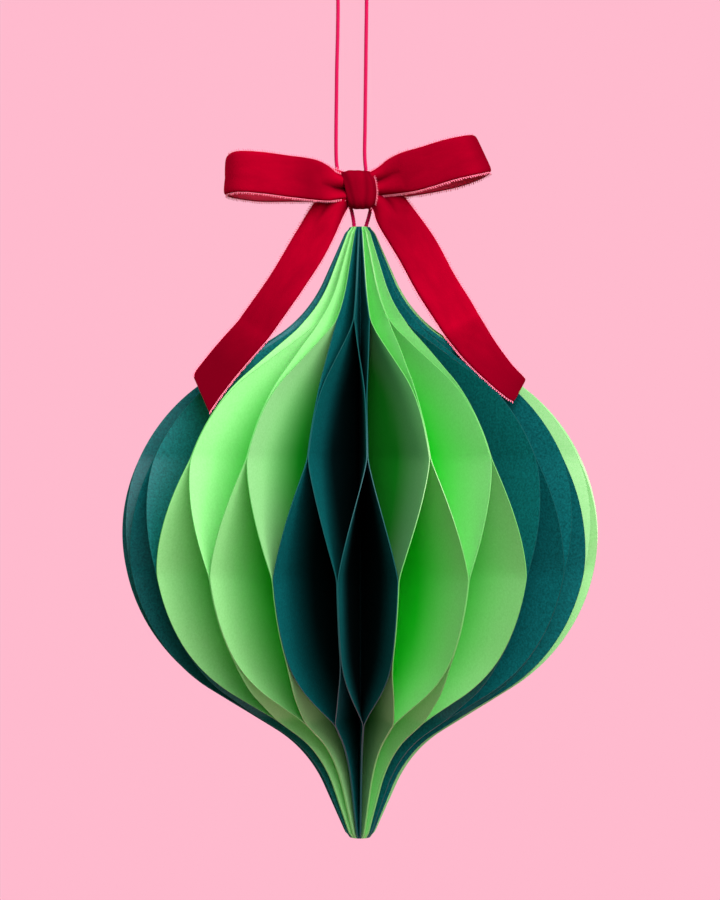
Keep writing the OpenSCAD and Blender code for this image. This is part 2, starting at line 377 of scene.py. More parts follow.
class Recipe:
    """A geometry node tree with named sizes, whose result is kept as a plain mesh."""

    def __init__(self, name: str) -> None:
        """Makes the tree with a geometry input and output."""
        self.tree = bpy.data.node_groups.new(name, "GeometryNodeTree")
        for way in ("INPUT", "OUTPUT"):
            self.tree.interface.new_socket("Geometry", in_out=way, socket_type="NodeSocketGeometry")
        self.entry = add_node(self.tree, "NodeGroupInput")
        self.sockets = {}

    def __getitem__(self, name: str) -> Formula:
        """The formula of a named size, which becomes an input of the tree when first asked for."""
        if name not in self.sockets:
            self.sockets[name] = self.tree.interface.new_socket(
                name, in_out="INPUT", socket_type="NodeSocketFloat")
        return Formula(self.tree, self.entry.outputs[name])

    def add(self, kind: str, inputs: Mapping | None = None, **settings: object) -> Node:
        """Adds a node to this recipe's tree."""
        return add_node(self.tree, kind, inputs, **settings)

    def parts_of(self, vector: Node) -> list[Formula]:
        """The three numbers of a node's vector."""
        node = self.add("ShaderNodeSeparateXYZ", {0: vector})
        return [Formula(self.tree, output) for output in node.outputs]

    def vector(self, x: Number, y: Number, z: Number) -> Node:
        """A vector of three numbers."""
        return self.add("ShaderNodeCombineXYZ", {0: x, 1: y, 2: z})

    def circle(self, corners: int, radius: Number) -> Node:
        """A circle, for the section of a thread."""
        return self.add("GeometryNodeCurvePrimitiveCircle", {"Resolution": corners, "Radius": radius})

    def thread(self, line: Node, section: Node, lids: bool = True) -> Node:
        """A thread of one section along a line."""
        return self.add("GeometryNodeCurveToMesh", {
            "Curve": line, "Profile Curve": section, "Fill Caps": lids})

    def stepped(self, line: Node, step: Number) -> Node:
        """A line in steps of one length."""
        return self.add("GeometryNodeResampleCurve", {"Curve": line, "Length": step}, mode="LENGTH")

    def close(self, shape: Node, material: Material) -> None:
        """Ends the tree with smooth faces, real copies of every instance, and a material."""
        smooth = self.add("GeometryNodeSetShadeSmooth", {"Geometry": shape})
        real = self.add("GeometryNodeRealizeInstances", {0: smooth})
        dressed = self.add("GeometryNodeSetMaterial", {"Geometry": real, "Material": material})
        self.add("NodeGroupOutput", {0: dressed})

    def make(self, name: str, sizes: Mapping[str, float], source: Mesh | None = None) -> Object:
        """Runs the tree once.

        Args:
            name: Name of the new piece.
            sizes: Values by name, with one for each named size among them.
            source: The mesh that the tree starts from, or None.

        Returns:
            The new piece, with no modifier left on it.
        """
        carrier = link_piece(name + "_carrier", source or bpy.data.meshes.new(name + "_empty"))
        modifier = carrier.modifiers.new("recipe", "NODES")
        modifier.node_group = self.tree
        for size, socket in self.sockets.items():
            modifier[socket.identifier] = sizes[size]
        graph = bpy.context.evaluated_depsgraph_get()
        mesh = bpy.data.meshes.new_from_object(carrier.evaluated_get(graph))
        carrier.modifiers.remove(modifier)
        bpy.data.objects.remove(carrier)
        mesh.name = name
        return link_piece(name, mesh)


def link_piece(name: str, data: ID) -> Object:
    """Puts a mesh, a lamp or a camera into the scene as an object at the origin."""
    piece = bpy.data.objects.new(name, data)
    bpy.context.scene.collection.objects.link(piece)
    return piece


def new_mesh(name: str, points: np.ndarray, faces: Sequence[Sequence[int]], material: Material
             ) -> Mesh:
    """Makes a smooth mesh.

    Args:
        name: Name of the mesh.
        points: One row for each point.
        faces: The numbers of each face's points, turning left seen from outside.
        material: The mesh's only material.

    Returns:
        The mesh.
    """
    mesh = bpy.data.meshes.new(name)
    mesh.from_pydata(points.tolist(), [], [list(face) for face in faces])
    mesh.materials.append(material)
    mesh.shade_smooth()
    return mesh


def line_mesh(name: str, lines: Sequence[np.ndarray]) -> Mesh:
    """Makes a mesh of bare lines, each of them through its own rows of points."""
    points, edges = [], []
    for line in lines:
        edges += [(len(points) + k, len(points) + k + 1) for k in range(len(line) - 1)]
        points += line.tolist()
    mesh = bpy.data.meshes.new(name)
    mesh.from_pydata(points, edges, [])
    return mesh


def dress(piece: Object, nodes: Sequence[str]) -> None:
    """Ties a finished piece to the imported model.

    Args:
        piece: The finished piece.
        nodes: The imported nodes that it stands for.
    """
    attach(piece, BODY)
    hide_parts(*nodes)
    LOG.info("%s: %d faces", piece.name, len(piece.data.polygons))


@dataclass(frozen=True)
class Outline:
    """Half section of the folded body: belly arc, flank, neck arc, taper and rounded tip."""

    height: float
    belly_diameter: float = 122.4 * MM
    belly_arc: float = 46.7 * MM
    flank_angle: float = math.radians(57.6)
    neck_arc: float = 33.7 * MM
    tip_angle: float = math.radians(24)
    tip_flat: float = 1.2 * MM
    tip_corner: float = 3.2 * MM

    @cached_property
    def sizes(self) -> dict[str, float]:
        """The outline's named sizes, with those of where its stretches meet."""
        belly_centre = self.belly_diameter / 2 - self.belly_arc
        flank_height = self.belly_arc * math.sin(self.flank_angle)
        flank_radius = belly_centre + self.belly_arc * math.cos(self.flank_angle)
        flank_slope, taper_slope = math.tan(self.flank_angle), math.tan(self.tip_angle)
        taper_height = self.height / 2 - self.tip_corner * (1 - math.sin(self.tip_angle))
        taper_radius = self.tip_flat + self.tip_corner * math.cos(self.tip_angle)
        cross_height = (flank_radius - taper_radius + flank_height * flank_slope
                        - taper_height * taper_slope) / (flank_slope - taper_slope)
        cross_radius = flank_radius - (cross_height - flank_height) * flank_slope
        tangent = self.neck_arc * math.tan((self.flank_angle - self.tip_angle) / 2)
        neck_low = cross_height - tangent * math.cos(self.flank_angle)
        return {
            **named_sizes(self),
            "Belly centre": belly_centre,
            "Flank height": flank_height,
            "Flank radius": flank_radius,
            "Flank slope": flank_slope,
            "Neck low": neck_low,
            "Neck high": cross_height + tangent * math.cos(self.tip_angle),
            "Neck level": neck_low + self.neck_arc * math.sin(self.flank_angle),
            "Neck centre": (cross_radius + tangent * math.sin(self.flank_angle)
                            + self.neck_arc * math.cos(self.flank_angle)),
            "Taper height": taper_height,
            "Taper radius": taper_radius,
            "Taper slope": taper_slope,
            "Tip level": self.height / 2 - self.tip_corner,
        }

    @staticmethod
    def radius(level: Number, size: Mapping[str, float] | Recipe) -> Number:
        """Radius of the body at a level.

        Args:
            level: Height above the body's middle.
            size: The named sizes, or the recipe that has them.

        Returns:
            The radius there, as a number or a formula.
        """
        height = abs(level)

        def arc(name: str, rise: Number) -> Number:
            """Reach of a named arc at a rise from its centre."""
            return root_of(size[name] * size[name] - rise * rise)

        def slant(name: str) -> Number:
            """Radius on a named straight stretch."""
            return size[f"{name} radius"] + (size[f"{name} height"] - height) * size[f"{name} slope"]

        shape = size["Tip flat"] + arc("Tip corner", size["Tip level"] - height)
        stretches = [
            ("Taper height", slant("Taper")),
            ("Neck high", size["Neck centre"] - arc("Neck arc", size["Neck level"] - height)),
            ("Neck low", slant("Flank")),
            ("Flank height", size["Belly centre"] + arc("Belly arc", height)),
        ]
        for top, stretch in stretches:
            shape = shape + is_below(height, size[top]) * (stretch - shape)
        return shape


@dataclass(frozen=True)
class GlueRows:
    """Depths of the glue rows below the body's top, and how the leaves bend between them."""

    row_1: float = 24.5 * MM
    row_2: float = 58.9 * MM
    row_3: float = 88.5 * MM
    row_3_end: float = 101.3 * MM
    row_4: float = 125.4 * MM
    open_power: float = 3.2
    close_power: float = 2.5
    crease: float = 0.06

    @staticmethod
    def opening(depth: Formula, size: Recipe) -> Formula:
        """How far a sheet is open: 0 where its leaves meet, 1 where it meets its neighbours.

        Args:
            depth: Depth below the body's top.
            size: The recipe that has the rows' named sizes.

        Returns:
            The opening there.
        """
        above = ((size["Row 2"] - depth) / (size["Row 2"] - size["Row 1"])).held()
        below = ((depth - size["Row 2"]) / (size["Row 3"] - size["Row 2"])).held()
        closing = ((depth - size["Row 3 end"]) / (size["Row 4"] - size["Row 3 end"])).held()
        leaving = above.math("POWER", size["Open power"])
        sharp = leaving + below * (1.0 - closing.math("POWER", size["Close power"]))

        def eased(share: Formula) -> Formula:
            """The share, bent softly where it leaves 0."""
            bend = root_of(share * share + size["Crease"] * size["Crease"]) - size["Crease"]
            return bend / (root_of(size["Crease"] * size["Crease"] + 1.0) - size["Crease"])

        return 1.0 - eased(1.0 - eased(sharp))


@dataclass
class FoldedBody:
    """The folded card sheets round the hollow core."""

    top: float
    outline: Outline
    rows: GlueRows = GlueRows()
    axis_x: float = AXIS_X
    card: float = 0.2 * MM
    glue: float = 0.02 * MM
    tip_land: float = 0.4 * MM
    first_seam: float = math.radians(-19.5)
    spread: tuple[float, ...] = (
        0.98, 0.9, 1.1, 1.08, 0.94, 0.8, 1, 1, 1.02, 0.98, 1, 1.02,
        0.98, 1, 1, 1.02, 0.98, 1, 1, 0.98, 1.02, 1.1, 1.26, 1.1)
    ripple: float = 0.35 * MM
    ripple_length: float = 26 * MM
    # How far from the open edge the painted shade of the cells reaches, and how fast it deepens.
    open_reach: float = 24 * MM
    deepening: float = 1.8
    sharp_angle: float = math.radians(40)
    leaf_columns: int = 9
    fold_columns: int = 2
    row_steps: tuple[int, ...] = (40, 36, 32, 13, 26, 46)

    @property
    def fold_radius(self) -> float:
        """Radius of the folds, where two leaves just fill the narrowest sheet's wedge."""
        narrowest = math.pi * min(self.spread) / sum(self.spread)
        return (self.card + self.glue) / math.tan(narrowest)

    def depth_of(self, fall: Formula, size: Recipe) -> Formula:
        """Depth of a row of points, with whole rows at each crease.

        Args:
            fall: Share of the rows passed, 0 at the top and 1 at the bottom.
            size: The recipe that has the rows' and the outline's named sizes.

        Returns:
            The depth below the body's top.
        """
        creases = [size[f"Row {name}"] for name in ("1", "2", "3", "3 end", "4")] + [size["Height"]]
        passed, start, depth = 0, 0.0, 0.0
        for steps, crease in zip(self.row_steps, creases):
            share = ((fall * sum(self.row_steps) - float(passed)) / float(steps)).held()
            depth = share * (crease - start) + depth
            passed, start = passed + steps, crease
        return depth

    def recipe(self, finish: CardFinish) -> Recipe:
        """Builds the tree that bends a flat card into one folded sheet.

        Args:
            finish: The card's finish.

        Returns:
            The recipe, where the half angle, turn and seed are each sheet's own.
        """
        recipe = Recipe(f"folded sheet, {finish.name}")
        columns = self.leaf_columns + self.fold_columns
        flat = recipe.add("GeometryNodeMeshCube", {
            "Size": (1.0, 1.0, 1.0), "Vertices X": 2 * columns + 1, "Vertices Y": 2,
            "Vertices Z": sum(self.row_steps) + 1})
        facing = recipe.parts_of(recipe.add("GeometryNodeInputNormal"))[1]
        cut = recipe.add("GeometryNodeStoreNamedAttribute", {
            "Geometry": flat, "Name": "cut_edge", "Value": is_below(abs(facing), 0.5)}, domain="FACE")
        along, layer, rise = recipe.parts_of(recipe.add("GeometryNodeInputPosition"))
        depth = self.depth_of(0.5 - rise, recipe)
        opening = self.rows.opening(depth, recipe)
        radius = self.outline.radius(recipe["Height"] * 0.5 - depth, recipe)
        slant = (recipe["Half angle"] * opening).math("COSINE")
        reach = radius.math("MAXIMUM", recipe["Least radius"]) * slant
        side = along * 2.0
        bend = (side * (columns / self.fold_columns)).math("MAXIMUM", -1.0).math("MINIMUM", 1.0)
        quarter = bend * (math.pi / 2)
        past_fold = abs(side) * float(columns) - float(self.fold_columns)
        share = (past_fold / float(self.leaf_columns)).held()
        fold = recipe["Fold radius"] + recipe["Card"] + recipe["Glue"]
        leaf = fold + share * (reach - fold)
        # Painted shade: 0 at the open edge, rising towards 1 deep in the cell, near the fold.
        inside = ((reach - leaf) / recipe["Open reach"]).held().math("POWER", recipe["Deepening"])
        marked = recipe.add("GeometryNodeStoreNamedAttribute", {
            "Geometry": cut, "Name": "inside", "Value": inside})
        slope = recipe["Half angle"].math("TANGENT")
        at_fold = fold * slope - recipe["Card"]
        at_edge = opening * (reach * slope - recipe["Card"] - recipe["Glue"])
        gap = at_fold + share * (at_edge - at_fold)
        wave = recipe.add("ShaderNodeTexNoise", {
            "Vector": recipe.vector(leaf * bend, depth, 0.0), "W": recipe["Seed"],
            "Scale": 1 / self.ripple_length, "Detail": 0.0}, noise_dimensions="4D")
        # The 8 brings the wave to run from -1 to 1, and its weight halfway between rows to 1.
        swing = (Formula(recipe.tree, wave.outputs[0]) - 0.5) * recipe["Ripple"] * 8.0
        ripple = swing * opening * (1.0 - opening) * share
        off = recipe["Glue"] * 0.5 + gap + ripple + (layer + 0.5) * recipe["Card"]
        out = leaf - off * quarter.math("COSINE")
        across = off * quarter.math("SINE")
        cosine, sine = recipe["Turn"].math("COSINE"), recipe["Turn"].math("SINE")
        x = recipe["Axis x"] + out * cosine - across * sine
        place = recipe.vector(x, out * sine + across * cosine, recipe["Top"] - depth)
        bent = recipe.add("GeometryNodeSetPosition", {"Geometry": marked, "Position": place})
        angle = Formula(recipe.tree, recipe.add("GeometryNodeInputMeshEdgeAngle").outputs[0])
        sharp = recipe.add("GeometryNodeSetShadeSmooth", {
            "Geometry": bent, "Selection": angle.math("GREATER_THAN", self.sharp_angle),
            "Shade Smooth": False}, domain="EDGE")
        recipe.close(sharp, finish.material)
        return recipe

    def build(self, nodes: Sequence[str]) -> None:
        """Makes every sheet.

        Args:
            nodes: The sheets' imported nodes, in their order round the body.
        """
        recipes = {colour: self.recipe(colour.finish) for colour in CardColour}
        shared = {
            **named_sizes(self), **named_sizes(self.rows), **self.outline.sizes,
            "Fold radius": self.fold_radius,
            "Least radius": self.fold_radius + self.card + self.tip_land,
        }
        seam = self.first_seam
        for number, node in enumerate(nodes):
            colour = CardColour(node.split("_")[0] + "_card")
            half = math.pi * self.spread[number % len(self.spread)] / sum(self.spread)
            own = {"Half angle": half, "Turn": seam + half - math.pi / 2, "Seed": float(number)}
            piece = recipes[colour].make(f"folded_{node}", {**shared, **own})
            dress(piece, [node])
            seam += 2 * half

@dataclass
class Skin:
    """A closed skin of velvet: its points and faces, and what its material reads at each point."""

    points: np.ndarray
    faces: list[tuple[int, ...]]
    flat: np.ndarray
    reverse: np.ndarray
    # Painted shade of the velvet at each point.
    pressed: np.ndarray


def ring_faces(rings: int, ring: int) -> list[tuple[int, ...]]:
    """Faces between rings of points, with a lid on the first and the last."""
    faces = []
    for row in range(rings - 1):
        for column in range(ring):
            a, b = row * ring + column, row * ring + (column + 1) % ring
            faces.append((a, b, b + ring, a + ring))
    faces.append(tuple(range(ring))[::-1])
    faces.append(tuple(range((rings - 1) * ring, rings * ring)))
    return faces


@dataclass
class Stretch:
    """One stretch of ribbon: its middle line and its directions at each point along it."""

    middle: np.ndarray
    across: np.ndarray
    half_width: np.ndarray
    pleats: Callable[[np.ndarray, np.ndarray], np.ndarray]
    # Painted shade: pairs of distance in millimetres and share.
    handled: Sequence[tuple[float, float]]

    @cached_property
    def along(self) -> np.ndarray:
        """Distance of each point from the stretch's start."""
        return distance_along(self.middle)

    @cached_property
    def out(self) -> np.ndarray:
        """Direction of the pile side, which faces forward where the stretch leaves the knot."""
        heading = unit_rows(np.gradient(self.middle, axis=0))
        normal = unit_rows(np.cross(heading, self.across))
        return -normal if normal[0, 1] > 0 else normal

    @property
    def length(self) -> float:
        """Length of the stretch."""
        return float(self.along[-1])

    @property
    def pressed(self) -> np.ndarray:
        """Painted shade of the velvet at each point, from shares given at some places."""
        places, shares = np.array(self.handled).T
        return np.interp(self.along, places * MM, shares)

    def lift(self, w: np.ndarray) -> np.ndarray:
        """How far the ribbon stands off its plane.

        Args:
            w: Places across the ribbon, from -1 to 1.

        Returns:
            One row for each point along the ribbon and one column for each w.
        """
        return self.pleats(self.along[:, None], w[None, :])

    def surface(self, w: np.ndarray, off: np.ndarray) -> np.ndarray:
        """Points of the ribbon.

        Args:
            w: Places across the ribbon, from -1 to 1.
            off: How far each stands off the ribbon's middle plane.

        Returns:
            An array of points, by place along and place across.
        """
        sideways = self.across[:, None] * (self.half_width[:, None] * w[None, :])[..., None]
        outward = self.out[:, None] * (self.lift(w) + off[None, :])[..., None]
        return self.middle[:, None] + sideways + outward


@dataclass(frozen=True)
class Route:
    """How a stretch of ribbon runs: the pleats across it, the place of their deepest crease from -1
    to 1, the share of painted shade on its velvet at places in millimetres, and its stations."""

    waves: float
    valley: float
    handled: tuple[tuple[float, float], ...]
    stations: tuple[tuple[float, ...], ...]

    def places(self, steps: int) -> np.ndarray:
        """The stations, with a smooth run of steps between each two."""
        return smooth_points(np.array(self.stations, float), steps)


@dataclass
class Bow:
    """The velvet ribbon, tied into a bow round the cord."""

    outline: Outline
    body_top: float
    axis_x: float = AXIS_X
    ribbon_width: float = 10.6 * MM
    ribbon_thickness: float = 0.8 * MM
    knot_gap: float = 4.3 * MM
    knot_width: float = 9 * MM
    knot_height: float = 10 * MM
    knot_depth: float = 6.4 * MM
    knot_x: float = -0.3 * MM
    knot_back: float = -0.6 * MM
    tail_gap: float = 0.6 * MM
    tail_swing: float = 0.12
    tail_bend_power: float = 4
    strap_width: float = 7 * MM
    slack: float = 0.06
    pleat_spread: float = 1.5
    pleat_swing: float = 1.6
    pleat_power: float = 0.8
    crown_swing: float = 1.6
    crown_power: int = 8
    # Painted shade per millimetre of a pleat's valley, taken away on its crests as painted highlight.
    crease_shade: float = 0.7
    knot_rings: int = 48
    knot_corners: int = 96
    knot_rounding: float = 0.13
    knot_rounding_power: int = 5
    knot_squareness: tuple[float, float] = (0.75, 0.6)
    crease_drift: float = 0.1
    lid_place: float = 0.9
    lid_size: float = 0.4
    steps: int = 10
    columns: int = 34

    # Each route gives its pleats, then painted shade as pairs of distance in millimetres and share,
    # then its stations.
    # Stations of a loop: sideways, depth and height from the knot in millimetres, lean in degrees,
    # and share of the ribbon's width.
    LEFT_LOOP = Route(1.5, -0.15, (
        (0, 0.7), (6, 0.35), (9, 0.45), (13, 0.55), (18, 0.3), (24, 0.1), (32, 0.05), (38, 0.3),
        (76, 0.6)), (
        (-1, -1, 0.4, 0, 0.5), (-5.2, -1.9, 0.6, 0, 0.64), (-7.8, -3.2, 1.3, 0, 0.86),
        (-11.5, -5, 2, 0, 0.98), (-18, -6.8, 2.6, 1, 1), (-25, -7.6, 3.4, 2, 1),
        (-31, -6.4, 3.8, 1, 0.98), (-34, -2.2, 3.4, -3, 0.94), (-32.2, 2.6, 3.2, -1, 0.96),
        (-26, 5.4, 2.9, 1, 1), (-18, 4.8, 2.8, 0, 1), (-11, 2.6, 2.2, 0, 0.94), (-5.5, 0.9, 1, 0, 0.8),
        (-1, 0.4, 0.6, 0, 0.6)))
    RIGHT_LOOP = Route(1.8, 0.1, (
        (0, 0.6), (6, 0.3), (10, 0.3), (15, 0.4), (22, 0.45), (29, 0.4), (35, 0.7), (70, 0.6)), (
        (1, -1, 0.6, 8, 0.5), (5.4, -2, 1.9, 12, 0.67), (8.6, -3.4, 3, 14, 0.86),
        (12.5, -5.2, 3.9, 16, 0.98), (17, -6.2, 5, 17, 0.99), (23, -6.6, 6.8, 17, 0.99),
        (28.6, -5.4, 8.2, 20, 0.99), (31.8, -1, 9.2, 25, 0.98), (30, 3.4, 8.2, 22, 0.98),
        (25, 5.6, 6.7, 17, 1), (18.5, 4.6, 5.1, 16, 1), (12, 2.6, 3.5, 14, 0.95),
        (5.5, 0.9, 1.4, 10, 0.8), (1, 0.4, 0.6, 6, 0.6)))
    # Stations of a tail's inner edge: sideways and height from the knot in millimetres, lean and
    # turn in degrees, and share of the ribbon's width.
    LEFT_TAIL = Route(1.6, 0.3, (
        (0, 0.6), (8, 0.1), (16, 0), (28, 0.2), (40, 0.5), (52, 0.75), (64, 0.9)), (
        (-1.5, -2.6, 20, 0, 0.5), (-3.9, -6.4, 47, 10, 0.74), (-8.3, -16.2, 55, 22, 0.99),
        (-14.3, -25.8, 61, 27, 1), (-21.2, -35.8, 58, 28, 1), (-28.2, -45.7, 50, 30, 1),
        (-32.9, -52.7, 46, 31, 1), (-36.1, -57.8, 26, 31, 1.06)))
    RIGHT_TAIL = Route(2.0, 0.1, (
        (0, 0.75), (8, 0.4), (14, 0.4), (28, 0.1), (42, 0.15), (58, 0.5), (72, 0.8)), (
        (1.4, -2.4, -20, 0, 0.5), (3.6, -5.2, -48, 4, 0.76), (5.1, -9.4, -58, 6, 0.94),
        (10.4, -18.4, -57, 8, 1.03), (15.1, -27.1, -62, 10, 1.03), (20.6, -35.7, -60, 16, 1.04),
        (26, -44, -56, 30, 1.03), (31.5, -50.1, -52, 41, 1), (35.8, -53.9, -44, 47, 1),
        (37.8, -55.1, -32, 50, 0.98)))
    # Stations of the stretch behind the cord: sideways from the knot and depth, in millimetres.
    STRAP = Route(3.0, 0.1, ((0, 0.5),), (
        (-3.6, -1.6), (-6.4, -1.4), (-8.2, 0.2), (-6.6, 1), (-3, 1), (2, 1), (5.6, 1), (7.4, 0.4),
        (6, -1.4), (3.4, -1.6)))
    # Middle and half width of the knot's band, as polynomials of the level up the knot.
    KNOT_MIDDLE = (-0.5, -0.65, 0.5)
    KNOT_HALF_WIDTH = (-0.09, 0.07, 0.9)
    # Creases of the band: place across it from -1 to 1, width and depth.
    KNOT_CREASES = ((-0.68, 0.14, 0.04), (-0.2, 0.2, 0.012), (0.36, 0.16, 0.03), (0.76, 0.08, 0.02))

    @property
    def knot(self) -> np.ndarray:
        """Middle of the knot."""
        return np.array([
            self.axis_x + self.knot_x,
            self.knot_back - self.knot_depth / 2,
            self.body_top + self.knot_gap + self.knot_height / 2])

    def direction_across(self, lean: np.ndarray, turn: np.ndarray) -> np.ndarray:
        """Directions across a ribbon that leans by one angle and turns away by another, in degrees."""
        lean, turn = np.radians(lean), np.radians(turn)
        level = np.cos(turn)
        return np.stack([-np.sin(lean) * level, np.sin(turn), np.cos(lean) * level], axis=1)

    def stretch(self, route: Route, middle: np.ndarray, across: np.ndarray, share: np.ndarray
                ) -> Stretch:
        """A stretch whose pleats take up the width that the ribbon loses near the knot.

        Args:
            route: What tells its pleats and the painted shade along it.
            middle: Its middle line.
            across: The direction across it at each point.
            share: Share of the full width that it keeps at each point.

        Returns:
            The stretch.
        """
        along = distance_along(middle)
        lost = np.clip(1 / np.minimum(share, 1) - 1 - self.slack, 0, None) ** 0.5
        depth = lost * self.ribbon_width / (self.pleat_spread * math.pi * route.waves)

        def lift(distance: np.ndarray, w: np.ndarray) -> np.ndarray:
            """Height of the pleats by distance along and place across."""
            deep = np.interp(distance, along, depth)
            wave = np.abs(np.sin(math.pi * route.waves / 2 * (w - route.valley))) ** self.pleat_power
            return deep * (self.pleat_swing * wave - 1)

        return Stretch(middle, across, share * self.ribbon_width / 2, lift, route.handled)

    def loop(self, route: Route) -> Stretch:
        """A loop of the bow."""
        places = route.places(self.steps)
        across = self.direction_across(places[:, 3], np.zeros(len(places)))
        return self.stretch(route, self.knot + places[:, :3] * MM, across, places[:, 4])

    def tail_depth(self, x: float, z: float) -> float:
        """Depth of a tail's inner edge: hanging free below the knot, then lying on the body."""
        middle = self.body_top - self.outline.height / 2
        hang = self.ribbon_thickness - self.knot[1] + self.tail_swing * (self.knot[2] - z)
        radius = self.outline.radius(z - middle, self.outline.sizes) + self.tail_gap
        rest = math.sqrt(max(0.0, radius ** 2 - (x - self.axis_x) ** 2))
        power = self.tail_bend_power
        return -(hang ** power + rest ** power) ** (1 / power)

    def tail(self, route: Route) -> Stretch:
        """A tail of the bow, from the knot to its cut end."""
        places = route.places(self.steps)
        x = self.knot[0] + places[:, 0] * MM
        z = self.knot[2] + places[:, 1] * MM
        inner = np.stack([x, [self.tail_depth(*place) for place in zip(x, z)], z], axis=1)
        across = self.direction_across(places[:, 2], places[:, 3])
        middle = inner + across * (self.ribbon_width / 2 * places[:, 4:5])
        return self.stretch(route, middle, across, places[:, 4])

    def strap(self) -> Stretch:
        """The stretch that passes behind the cord."""
        places = self.STRAP.places(self.steps)
        level = np.full(len(places), self.knot[2])
        middle = np.stack([self.knot[0] + places[:, 0] * MM, places[:, 1] * MM, level], axis=1)
        across = np.tile([0.0, 0.0, 1.0], (len(middle), 1))
        share = np.full(len(middle), self.strap_width / self.ribbon_width)
        return self.stretch(self.STRAP, middle, across, share)

    def stretches(self) -> list[Stretch]:
        """Every stretch of the ribbon outside the knot."""
        return [self.loop(self.LEFT_LOOP), self.loop(self.RIGHT_LOOP), self.tail(self.LEFT_TAIL),
                self.tail(self.RIGHT_TAIL), self.strap()]

    def velvet(self, stretch: Stretch) -> Skin:
        """The closed skin of one stretch."""
        front = np.linspace(-1, 1, self.columns)
        back = np.linspace(1, -1, self.columns)[1:-1]
        half = self.ribbon_thickness / 2
        crown = half * (1 + self.crown_swing * ((1 - np.abs(front) ** self.crown_power) ** 0.5 - 1))
        w = np.concatenate([front, back])
        off = np.concatenate([crown, np.full(len(back), -half)])
        grid = stretch.surface(w, off)
        rings, ring = grid.shape[:2]
        faces = ring_faces(rings, ring)
        flat = np.stack([
            np.repeat(stretch.along, ring),
            (stretch.half_width[:, None] * w[None, :]).ravel()], axis=1)
        woven = np.tile(np.concatenate([np.zeros(len(front)), np.ones(len(back))]), rings)
        normal = np.cross(grid[1, 0] - grid[0, 0], grid[0, 1] - grid[0, 0])
        if normal @ stretch.out[0] > 0:
            faces = [face[::-1] for face in faces]
        # Painted shade: darker in the pleats' valleys, lighter on their crests.
        pressed = np.clip(stretch.pressed[:, None] - self.crease_shade / MM * stretch.lift(w), 0, 1)
        return Skin(grid.reshape(-1, 3), faces, flat, woven, pressed.ravel())

    def knot_band(self) -> np.ndarray:
        """Points of the knot's band, by place across it and place round it."""
        round_it = np.linspace(0, 2 * math.pi, self.knot_corners, endpoint=False)
        across = np.linspace(-1, 1, self.knot_rings)
        size = 1 - self.knot_rounding * np.abs(across) ** self.knot_rounding_power
        across = np.concatenate([[-self.lid_place], across, [self.lid_place]])
        size = np.concatenate([[self.lid_size], size, [self.lid_size]])
        square_y, square_z = self.knot_squareness

        def squared(value: np.ndarray, power: float) -> np.ndarray:
            """A sine or cosine that makes a circle squarer the lower the power is."""
            return np.sign(value) * np.abs(value) ** power

        level = squared(np.sin(round_it), square_z)
        centre = np.polyval(self.KNOT_MIDDLE, level) * MM
        half = np.polyval(self.KNOT_HALF_WIDTH, level) * self.knot_width / 2
        x = centre[None, :] + across[:, None] * half[None, :]
        pleats = size[:, None] * (1 - self.knot_pleats(across, round_it))
        y = pleats * squared(np.cos(round_it), square_y)[None, :] * self.knot_depth / 2
        z = pleats * level[None, :] * self.knot_height / 2
        return np.stack([x, y, z], axis=2) + self.knot

    def knot_skin(self) -> Skin:
        """The closed skin of the knot's band."""
        band = self.knot_band()
        rings, ring = band.shape[:2]
        points = band.reshape(-1, 3)
        angles = np.linspace(0, 2 * math.pi, ring, endpoint=False)
        flat = np.stack([np.tile(angles * self.knot_height / 2, rings), points[:, 0]], axis=1)
        across = np.linspace(-1, 1, rings)
        # Painted shade: half dark all over, darker at the rims and in the creases.
        pressed = 0.5 + 0.3 * np.abs(across[:, None]) ** 3 + 7 * self.knot_pleats(across, angles)
        woven = np.zeros(len(points))
        return Skin(points, ring_faces(rings, ring), flat, woven, np.clip(pressed, 0, 1).ravel())

    def knot_pleats(self, x: np.ndarray, angle: np.ndarray) -> np.ndarray:
        """How deep the knot's pleats cut in, by place across and angle round."""
        depth = np.zeros((len(x), len(angle)))
        for at, width, deep in self.KNOT_CREASES:
            drift = at + self.crease_drift * np.sin(angle * 2 + at * 9)
            depth += deep * np.exp(-((x[:, None] - drift[None, :]) / width) ** 2)
        return depth

    def build(self, node: str, slot: str) -> None:
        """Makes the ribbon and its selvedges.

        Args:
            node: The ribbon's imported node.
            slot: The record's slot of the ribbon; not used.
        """
        stretches = self.stretches()
        skins = [*map(self.velvet, stretches), self.knot_skin()]
        faces, total = [], 0
        for skin in skins:
            faces += [tuple(number + total for number in face) for face in skin.faces]
            total += len(skin.points)
        points = np.vstack([skin.points for skin in skins])
        mesh = new_mesh("velvet_bow", points, faces, VELVET.material)
        # The velvet's woven side, and its painted shade.
        for name in ("reverse", "pressed"):
            values = np.concatenate([getattr(skin, name) for skin in skins])
            mesh.attributes.new(name, "FLOAT", "POINT").data.foreach_set("value", values)
        corners = np.empty(len(mesh.loops), np.int32)
        mesh.loops.foreach_get("vertex_index", corners)
        flat = np.vstack([skin.flat for skin in skins])[corners]
        mesh.uv_layers.new(name="ribbon").data.foreach_set("uv", flat.ravel())
        bow = link_piece("velvet_bow", mesh)
        dress(bow, [node])
        selvedge = Selvedge().build(stretches, self)
        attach(selvedge, BODY)
        wrap = 2 * (self.knot_height + self.knot_depth)
        length = sum(stretch.length for stretch in stretches) + wrap
        LOG.info("ribbon: %.0f mm long, cut flat", length / MM)


